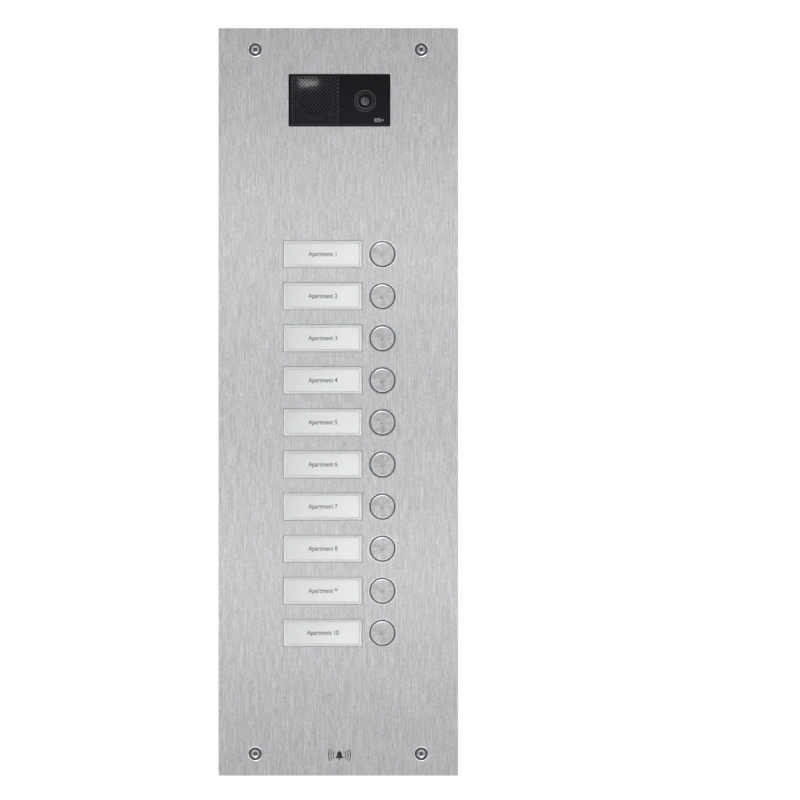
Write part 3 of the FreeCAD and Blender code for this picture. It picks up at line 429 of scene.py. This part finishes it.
def moulded(name, color, roughness, grain=2500, contrast=0.08, **sockets):
    """Injection-moulded plastic or rubber with a fine even grain."""
    made = Nodes(name, color, roughness, 0.0, **sockets)
    noise = made.noise((grain, grain, grain), detail=3.0)
    broad = made.noise((90, 90, 90), detail=2.0)
    made.tint(made.math("MULTIPLY", made.spread(noise, 1 - contrast, 1 + contrast),
                        made.spread(broad, 0.96, 1.04)))
    made.rough(made.spread(noise, roughness - 0.05, roughness + 0.05))
    made.bump(noise, 0.2, 0.00002)
    return made.material


def grille_plastic():
    """Polished black plastic, paler on the mesh than on its border."""
    roughness = 0.035
    made = Nodes("grille_plastic", (0.032, 0.032, 0.041), roughness)
    low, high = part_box("speaker_grille")
    half = (high - low) / 2 - Vector((GRILLE_BORDER, 0, GRILLE_BORDER))
    offset = made.vector("ABSOLUTE", made.vector("SUBTRACT", made.place(), middle("speaker_grille")))
    across, _, upward = made.axes(offset)
    on_mesh = made.math("MULTIPLY", made.math("LESS_THAN", across, half.x),
                        made.math("LESS_THAN", upward, half.z))
    noise = made.noise((300, 300, 300), detail=3.0)
    made.tint(made.math("MULTIPLY", made.spread(noise, 0.85, 1.15),
                        made.spread(on_mesh, 0.33, 1.0, start=0.0, end=1.0)))
    made.rough(made.spread(noise, 0.8 * roughness, 1.2 * roughness))
    return made.material


def let_light_through(made):
    """Rays towards the lamps pass straight through, so that what is behind the plastic is lit."""
    path = made.add("ShaderNodeLightPath")
    clear = made.add("ShaderNodeBsdfTransparent")
    mix = made.add("ShaderNodeMixShader")
    made.link(path.outputs["Is Shadow Ray"], mix.inputs[0])
    made.link(made.shader.outputs[0], mix.inputs[1])
    made.link(clear.outputs[0], mix.inputs[2])
    made.link(mix.outputs[0], made.tree.nodes["Material Output"].inputs["Surface"])


def from_window(made):
    """How far a point is, across and upward, from the middle of its row's window."""
    x, _, z = made.axes()
    across = made.math("ABSOLUTE", made.math("SUBTRACT", x, ROW_PLACES[0].x))
    upward = made.math("ABSOLUTE", made.math("SUBTRACT", fold_rows(made, z), TOP_ROW_Z))
    return across, upward


def clear_plastic():
    """Clear with a satin surface, with painted grey shade on the walls of the pocket that holds the card."""
    made = Nodes("clear_plastic", (0.985, 0.99, 0.992), 0.25, 0.0, IOR=1.49, Transmission_Weight=1.0)
    across, upward = from_window(made)
    beyond = made.math("MAXIMUM", made.math("SUBTRACT", across, POCKET_HALF.x),
                       made.math("SUBTRACT", upward, POCKET_HALF.z))
    # Painted shade: a grey line along the pocket's walls.
    pocket_wall_shade = made.math("COMPARE", beyond, 0.0, POCKET_WALL)
    made.tint(made.spread(pocket_wall_shade, 1.0, 0.72, start=0.0, end=1.0))
    haze = made.noise((120, 120, 120), detail=2.0)
    made.rough(made.spread(haze, 0.24, 0.26))
    let_light_through(made)
    return made.material


def smoked_plastic():
    """Smoked and anti-reflection coated; its ground edge shows as a paler ring."""
    made = Nodes("smoked_plastic", (0.50, 0.50, 0.515), 0.03, 0.0, IOR=1.3, Transmission_Weight=1.0)
    inner, outer = WINDOW_EDGE
    edge = made.spread(made.radius(CAMERA_AXIS), 0.0, 1.0, start=inner, end=outer)
    made.tint(made.spread(edge, 1.0, 0.12, start=0.0, end=1.0))
    haze = made.noise((160, 160, 160), detail=2.0)
    made.rough(made.math("ADD", made.spread(haze, 0.01, 0.04), made.math("MULTIPLY", edge, 0.5)))
    made.link(made.math("SUBTRACT", 1.0, edge), made.shader.inputs["Transmission Weight"])
    let_light_through(made)
    return made.material


def lens_glass():
    """Dark coated glass, with a paler ring near its edge painted on as a highlight."""
    made = Nodes("lens_glass", (0.11, 0.11, 0.122), 0.03, 0.0, IOR=1.6, Coat_Weight=1.0)
    # Painted highlight: a paler ring near the lens's edge.
    painted_ring = made.ring(made.radius(CAMERA_AXIS), *LENS_RING)
    tone = made.spread(made.noise((900, 900, 900), detail=1.0), 0.9, 1.1)
    made.tint(made.math("MULTIPLY_ADD", painted_ring, 6.0, tone))
    return made.material


def ringed(name, color, roughness, factor, *rings):
    """A dark part of the camera with rings about the lens painted paler by a factor as highlights. The
    painted sheen is brighter towards the lower left."""
    made = Nodes(name, color, roughness, 0.0)
    grain = made.noise((1800, 1800, 1800))
    radius = made.radius(CAMERA_AXIS)
    offset = made.vector("MULTIPLY", made.vector("SUBTRACT", made.place(), CAMERA_AXIS), (1, 0, 1))
    # Painted highlight: the rings are brighter towards the lower left, as if lit from there.
    facing = made.add("ShaderNodeVectorMath", operation="DOT_PRODUCT")
    made.fill(facing, made.vector("NORMALIZE", offset), (-0.7, 0, -0.7))
    painted_sheen = made.spread(facing.outputs["Value"], 0.6, 1.9, start=-1.0, end=1.0)
    tone = made.spread(grain, 0.85, 1.15)
    for inner, outer in rings:
        painted_ring = made.math("MULTIPLY", made.ring(radius, inner, outer), painted_sheen)
        tone = made.math("MULTIPLY_ADD", painted_ring, factor, tone)
    made.tint(tone)
    made.rough(made.spread(grain, roughness - 0.05, roughness + 0.05))
    made.bump(grain, 0.1, 0.00001)
    return made.material


def screw_head_steel():
    """Bright steel; the recess is darkened as painted shade."""
    made = Nodes("screw_head_steel", (0.46, 0.46, 0.47), 0.26, 1.0)
    _, depth, _ = made.axes()
    # Painted shade: the steel is darkened by depth inside the recess.
    painted_recess_shade = made.spread(depth, 1.0, 0.08, start=PLATE_FRONT + 0.85 * MM, end=PLATE_FRONT + 1.1 * MM)
    grain = made.noise((900, 900, 900), detail=3.0)
    made.tint(made.math("MULTIPLY", painted_recess_shade, made.spread(grain, 0.88, 1.08)))
    made.rough(made.spread(grain, 0.2, 0.3))
    made.bump(grain, 0.1, 0.00001)
    return made.material


def cup_washer_plastic():
    """Black, with a paler ring just outside the screw head."""
    made = Nodes("cup_washer_plastic", (0.022, 0.022, 0.025), 0.4, 0.0)
    mirrored = made.vector("ABSOLUTE", made.place())
    pale_band = made.ring(made.radius(SCREW_PLACE, mirrored), *WASHER_RING)
    grain = made.noise((700, 700, 700), detail=3.0)
    made.tint(made.math("MULTIPLY_ADD", pale_band, 4.0, made.spread(grain, 0.4, 1.8)))
    made.rough(made.spread(grain, 0.35, 0.5))
    made.bump(grain, 0.15, 0.00002)
    return made.material


def box_plastic():
    """White plastic. The boxes' front faces glow a little from the lamps, as far as the windows
    reach, and their rims are darkened as painted shade."""
    made = Nodes("white_plastic", (0.84, 0.84, 0.84), 0.5)
    across, upward = from_window(made)
    _, depth, _ = made.axes()
    grain = made.noise((2500, 2500, 2500))
    in_window = made.math("MULTIPLY", made.math("LESS_THAN", across, WINDOW_HALF.x),
                          made.math("LESS_THAN", upward, WINDOW_HALF.z))
    front = made.math("LESS_THAN", depth, 0.5 * MM)
    rim = made.math("MULTIPLY", front, made.math("SUBTRACT", 1.0, in_window))
    # Painted shade: the front rims outside the windows are darkened.
    painted_rim_shade = made.math("MULTIPLY_ADD", rim, -0.97, 1.0)
    made.tint(made.math("MULTIPLY", made.spread(grain, 0.98, 1.02), painted_rim_shade))
    made.rough(made.spread(grain, 0.45, 0.55))
    made.bump(grain, 0.1, 0.00002)
    made.shader.inputs["Emission Color"].default_value = (1, 1, 1, 1)
    glow = made.math("MULTIPLY", made.math("MULTIPLY", front, in_window), BORDER_GLOW)
    made.link(glow, made.shader.inputs["Emission Strength"])
    return made.material


def nose_plastic():
    """The module's frame: matt and darkened by painted shade behind the inserts, with a thin painted
    highlight line low on its rim.
    """
    made = Nodes("nose_plastic", (0.008, 0.008, 0.010), 0.5, 0.0, Specular_IOR_Level=0.2)
    _, depth, z = made.axes()
    grain = made.noise((2500, 2500, 2500))
    behind = FASCIA_FRONT + 1.2 * MM
    # Painted shade: the frame darkens behind the front of the inserts.
    shade_behind_inserts = made.spread(depth, 1.0, 0.2, start=FASCIA_FRONT, end=behind)
    # Painted highlight: a thin pale line low on the rim, where its edge would catch light from above.
    line_z, line_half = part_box("speaker_grille")[0].z - 0.35 * MM, 0.17 * MM
    line = made.math("COMPARE", z, line_z, line_half)
    front = made.math("LESS_THAN", depth, FASCIA_FRONT)
    pale_band = made.math("MULTIPLY", made.math("MULTIPLY", line, front), RIM_HIGHLIGHT)
    made.tint(made.math("ADD", made.math("MULTIPLY", shade_behind_inserts, made.spread(grain, 0.92, 1.08)), pale_band))
    made.rough(made.spread(depth, 0.42, 0.9, start=FASCIA_FRONT, end=behind))
    made.bump(grain, 0.2, 0.00002)
    return made.material


def fascia_plastic():
    """Black, and a little paler towards its lower edge: a painted gradient of light."""
    low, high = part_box("camera_fascia")
    made = Nodes("fascia_plastic", (0.006, 0.0062, 0.0084), 0.3, 0.0, Specular_IOR_Level=0.15)
    _, _, z = made.axes()
    grain = made.noise((2500, 2500, 2500))
    # Painted light: paler towards the bottom, darker towards the top.
    painted_gradient = made.spread(z, 1.35, 0.8, start=low.z, end=high.z)
    made.tint(made.math("MULTIPLY", painted_gradient, made.spread(grain, 0.92, 1.08)))
    made.rough(made.spread(grain, 0.25, 0.35))
    made.bump(grain, 0.2, 0.00002)
    return made.material


def card_paper():
    """White card, a little darker towards its left end: a painted gradient of light."""
    low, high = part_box("name_cards")
    made = Nodes("card_paper", (0.875, 0.876, 0.877), 0.85)
    x, _, _ = made.axes()
    # Painted light: the card is darker towards its left end.
    painted_gradient = made.spread(x, 0.84, 1.01, start=low.x, end=high.x)
    fibre = made.noise((900, 900, 900), detail=4.0)
    made.tint(made.math("MULTIPLY", painted_gradient, made.spread(fibre, 0.98, 1.02)))
    made.bump(fibre, 0.1, 0.00002)
    return made.material


def circuit_board():
    """Green solder mask over a faint pattern of tracks."""
    made = Nodes("circuit_board", (0.012, 0.10, 0.045), 0.32, 0.0, Specular_IOR_Level=0.5)
    tracks = made.add("ShaderNodeTexBrick", offset=0.5)
    tracks.inputs["Scale"].default_value = 60.0
    tracks.inputs["Mortar Size"].default_value = 0.04
    tracks.inputs["Color1"].default_value = (0.9, 0.9, 0.9, 1)
    tracks.inputs["Color2"].default_value = (1.1, 1.1, 1.1, 1)
    tracks.inputs["Mortar"].default_value = (1.8, 1.8, 1.8, 1)
    turn = made.add("ShaderNodeMapping")
    turn.inputs["Rotation"].default_value = (math.radians(90), 0, 0)
    made.link(made.place(), turn.inputs["Vector"])
    made.link(turn.outputs["Vector"], tracks.inputs["Vector"])
    fine = made.noise((500, 500, 500), detail=2.0)
    made.tint(made.math("MULTIPLY", tracks.outputs["Color"], made.spread(fine, 0.9, 1.1)))
    made.bump(tracks.outputs["Fac"], 0.2, 0.00003)
    return made.material


def make_materials():
    return {
        "brushed_steel": brushed_steel(),
        "turned_steel": turned_steel(),
        "screw_steel": plain_metal("screw_steel", (0.60, 0.60, 0.61), 0.26),
        "spring_steel": plain_metal("spring_steel", (0.55, 0.55, 0.57), 0.28),
        "galvanised_steel": galvanised_steel(),
        "black_rubber": moulded("black_rubber", (0.018, 0.018, 0.018), 0.75),
        "card_paper": card_paper(),
        "white_plastic": box_plastic(),
        "black_plastic": moulded("black_plastic", (0.02, 0.02, 0.022), 0.5, contrast=0.3, grain=1400),
        "module_plastic": moulded("module_plastic", (0.008, 0.008, 0.010), 0.42, Specular_IOR_Level=0.2),
        "grille_plastic": grille_plastic(),
        "fascia_plastic": fascia_plastic(),
        "nose_plastic": nose_plastic(),
        "smoked_plastic": smoked_plastic(),
        "clear_plastic": clear_plastic(),
        "silicone": moulded("silicone", (0.72, 0.72, 0.68), 0.5, Subsurface_Weight=0.2),
        "circuit_board": circuit_board(),
        "lamp_resin": moulded("lamp_resin", (0.85, 0.82, 0.62), 0.25),
        # The speaker's steel and cone are black; they and the microphone capsule's aluminium are painted
        # darker still, as the shade behind the grille.
        "speaker_steel": moulded("speaker_steel", (0.006, 0.006, 0.007), 0.5, Specular_IOR_Level=0.15),
        "cone_paper": moulded("cone_paper", (0.005, 0.005, 0.005), 0.8, grain=900, contrast=0.3,
                              Specular_IOR_Level=0.1),
        "magnet_ferrite": moulded("magnet_ferrite", (0.05, 0.05, 0.055), 0.6),
        "capsule_aluminium": plain_metal("capsule_aluminium", (0.025, 0.025, 0.027), 0.5),
        "barrel_metal": ringed("barrel_metal", (0.02, 0.02, 0.022), 0.3, 34.0, *BARREL_RINGS),
        "shroud_plastic": ringed("shroud_plastic", (0.012, 0.012, 0.014), 0.5, 13.0, SHROUD_RING),
        "screw_head_steel": screw_head_steel(),
        "cup_washer_plastic": cup_washer_plastic(),
        "lens_glass": lens_glass(),
        "trimmer_plastic": moulded("trimmer_plastic", (0.02, 0.10, 0.42), 0.35),
        "terminal_plastic": moulded("terminal_plastic", (0.03, 0.22, 0.09), 0.4),
        "ribbon_plastic": moulded("ribbon_plastic", (0.45, 0.45, 0.46), 0.45),
        "card_ink": moulded("card_ink", (0.02, 0.02, 0.022), 0.8),
        "black_enamel": moulded("black_enamel", (0.006, 0.006, 0.007), 0.5),
        "sign_ink": moulded("sign_ink", (0.17, 0.17, 0.18), 0.6),
    }


# ---------------------------------------------------------------- pieces that Blender makes

def finish_piece(piece, material, body="panel"):
    """Puts a piece in the scene, with its material, on its body."""
    scene.collection.objects.link(piece)
    piece.data.materials.append(materials[material])
    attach(piece, body)


def mesh_piece(name, verts, faces, material, body="panel"):
    """A smooth piece from its vertices and faces."""
    mesh = bpy.data.meshes.new(name)
    mesh.from_pydata([tuple(v) for v in verts], [], faces)
    mesh.polygons.foreach_set("use_smooth", [True] * len(mesh.polygons))
    piece = bpy.data.objects.new(name, mesh)
    finish_piece(piece, material, body)
    return piece


def tube(points, radius, sides):
    """Vertices and faces of a closed round tube along a line of points."""
    verts, faces = [], []
    count = len(points)
    for i, point in enumerate(points):
        ahead = points[min(i + 1, count - 1)] - points[max(i - 1, 0)]
        across = ahead.cross(Vector((0, 1, 0))).normalized()
        up = across.cross(ahead).normalized()
        for k in range(sides):
            turn = 2 * math.pi * k / sides
            verts.append(point + radius * (math.cos(turn) * across + math.sin(turn) * up))
    for i in range(count - 1):
        for k in range(sides):
            a, b = i * sides + k, i * sides + (k + 1) % sides
            faces.append((a, b, b + sides, a + sides))
    faces.append(tuple(reversed(range(sides))))
    faces.append(tuple(range((count - 1) * sides, count * sides)))
    return verts, faces


def spring_line(place, radius, start, end, wire):
    """The centre line of a compression spring along Y, with a closed turn at each end."""
    turns, steps = 5, 40
    first, last = start + wire, end - wire
    closed = 2 * wire
    points = []
    for i in range(turns * steps + 1):
        turn = i / steps
        if turn < 1:
            y = first + closed * turn
        elif turn > turns - 1:
            y = last - closed * (turns - turn)
        else:
            y = first + closed + (last - first - 2 * closed) * (turn - 1) / (turns - 2)
        angle = 2 * math.pi * turn
        points.append(Vector((place.x + radius * math.cos(angle), y, place.z + radius * math.sin(angle))))
    return points


def make_springs():
    """Ten return springs, each between its cap's flange and its housing."""
    low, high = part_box("button_springs")
    travel, wire, radius = 1.2 * MM, 0.35 * MM, 5.0 * MM
    for row, place in enumerate(BUTTON_PLACES, start=1):
        verts, faces = tube(spring_line(place, radius, low.y, high.y, wire), wire, 10)
        spring = mesh_piece(f"return_spring_{row:02d}", verts, faces, "spring_steel")
        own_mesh(spring)
        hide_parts("button_springs")


def lathe(profile, place, segments=40):
    """Vertices and faces of a solid turned about Y; the profile's ends lie on the axis."""
    verts = [Vector((place.x, profile[0][1], place.z))]
    faces = []
    rings = profile[1:-1]
    for radius, y in rings:
        for k in range(segments):
            turn = 2 * math.pi * k / segments
            verts.append(Vector((place.x + radius * math.cos(turn), y, place.z + radius * math.sin(turn))))
    verts.append(Vector((place.x, profile[-1][1], place.z)))
    for k in range(segments):
        after = (k + 1) % segments
        faces.append((0, 1 + k, 1 + after))
        for i in range(len(rings) - 1):
            a, b = 1 + i * segments + k, 1 + i * segments + after
            faces.append((a, a + segments, b + segments, b))
        a, b = len(verts) - 1 - segments + k, len(verts) - 1 - segments + after
        faces.append((a, len(verts) - 1, b))
    return verts, faces


def make_domes():
    """Ten soft switch domes: a round nub on a sloping skirt."""
    low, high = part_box("switch_domes")
    height, radius, give = high.y - low.y, 1.75 * MM, 0.31 * MM
    # The nub's round end, the sloping skirt, and the rim that stands on the switch.
    profile = [(0, low.y)]
    profile += [(0.8 * MM * math.sin(a), low.y + 0.25 * MM * (1 - math.cos(a)))
                for a in [math.radians(15 * i) for i in range(1, 7)]]
    profile += [(0.9 * MM, low.y + 0.45 * MM), (1.15 * MM, low.y + 0.62 * MM), (1.45 * MM, low.y + 0.85 * MM),
                (1.6 * MM, low.y + 1.1 * MM), (radius, low.y + 1.15 * MM), (radius, high.y), (0, high.y)]
    for row, place in enumerate(BUTTON_PLACES, start=1):
        verts, faces = lathe(profile, place)
        dome = mesh_piece(f"switch_dome_{row:02d}", verts, faces, "silicone")
        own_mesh(dome)
        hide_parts("switch_domes")


def make_card_prints():
    """The cards' print: numbered apartments in a plain, slightly narrowed sans-serif."""
    size, narrowing, stroke, thickness = 4.9 * MM, 0.86, 0.05 * MM, 0.01 * MM
    shift = 0.2 * MM
    for row, place in enumerate(ROW_PLACES, start=1):
        text = bpy.data.curves.new(f"card_print_{row:02d}", "FONT")
        text.body = f"Apartment {row}"
        text.size = size
        text.offset = stroke
        text.align_x, text.align_y = "CENTER", "CENTER"
        text.extrude = thickness
        text.fill_mode = "BOTH"
        piece = bpy.data.objects.new(text.name, text)
        piece.location = (place.x + shift, CARD_FRONT - 1.1 * thickness, place.z)
        piece.scale.x = narrowing
        piece.rotation_euler = (math.radians(90), 0, 0)
        finish_piece(piece, "card_ink")


def arc(radius, start, end, centre=(0.0, 0.0), steps=16):
    """Points on an arc, from one angle to another in degrees."""
    turns = [math.radians(start + (end - start) * i / steps) for i in range(steps + 1)]
    return [(centre[0] + radius * math.cos(a), centre[1] + radius * math.sin(a)) for a in turns]


def make_sign(name, outlines, centre, material):
    """A flat sign on a front face; its outlines are in millimetres about centre, and holes are
    outlines inside others."""
    thickness = 0.03 * MM
    data = bpy.data.curves.new(name, "CURVE")
    data.dimensions = "2D"
    data.fill_mode = "BOTH"
    data.extrude = thickness / 2
    for outline in outlines:
        spline = data.splines.new("POLY")
        spline.points.add(len(outline) - 1)
        for point, (x, z) in zip(spline.points, outline):
            point.co = (x * MM, z * MM, 0, 1)
        spline.use_cyclic_u = True
    piece = bpy.data.objects.new(name, data)
    piece.location = centre + Vector((0, -thickness / 2, 0))
    piece.rotation_euler = (math.radians(90), 0, 0)
    finish_piece(piece, material)


def band(radius, thickness, start, end):
    """A bent stroke: the outline between two arcs."""
    return arc(radius + thickness / 2, start, end) + arc(radius - thickness / 2, end, start)


def make_bell_sign():
    """A ringing bell, enamelled near the bottom of the plate."""
    right = [(1.75, 0.4), (1.95, -0.7), (2.35, -1.35), (3.1, -1.9), (3.1, -2.35)]
    body = arc(1.75, 0, 180, centre=(0, 0.9)) + [(-x, z) for x, z in right] + right[::-1]
    knob = arc(0.5, 0, 350, centre=(0, 2.9))
    clapper = arc(0.85, 180, 360, centre=(0, -2.55))
    waves = [band(radius, 0.62, turn - 34, turn + 34) for radius in (4.7, 6.5, 8.3) for turn in (0, 180)]
    centre = Vector((0.9 * MM, PLATE_FRONT, -265.5 * MM))
    make_sign("bell_sign", [body, knob, clapper] + waves, centre, "black_enamel")


def make_camera_sign():
    """A small camera, printed in the fascia's lower right corner."""
    case = arc(0.5, 0, 90, (1.6, 0.9), 4) + arc(0.5, 90, 180, (-2.4, 0.9), 4)
    case += arc(0.5, 180, 270, (-2.4, -0.9), 4) + arc(0.5, 270, 360, (1.6, -0.9), 4)
    hood = [(2.5, 0.35), (4.0, 1.25), (4.0, -1.25), (2.5, -0.35)]
    eye = arc(0.55, 0, 350, (-0.4, 0.0))
    low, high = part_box("camera_fascia")
    centre = Vector((high.x - 7.5 * MM, FASCIA_FRONT, low.z + 3.1 * MM))
    make_sign("camera_sign", [case, hood, eye], centre, "sign_ink")


OWN_MATERIAL = {
    "security_screws": "screw_head_steel",
    "cup_washers": "cup_washer_plastic",
    "camera_bracket": "shroud_plastic",
    "av_frame": "nose_plastic",
}


def paint_frame():
    """Every CAD node takes the material of its slot in the record, or one of its own."""
    for node, item in frame["nodes"].items():
        item.data.materials.clear()
        item.data.materials.append(materials[OWN_MATERIAL.get(node, SLOT_OF[node])])


# ---------------------------------------------------------------- the scene

make_camera()
make_floor()
make_world()
make_lights()
materials = make_materials()
paint_frame()
make_springs()
make_domes()
make_card_prints()
make_bell_sign()
make_camera_sign()
scene.view_settings.view_transform = "Standard"
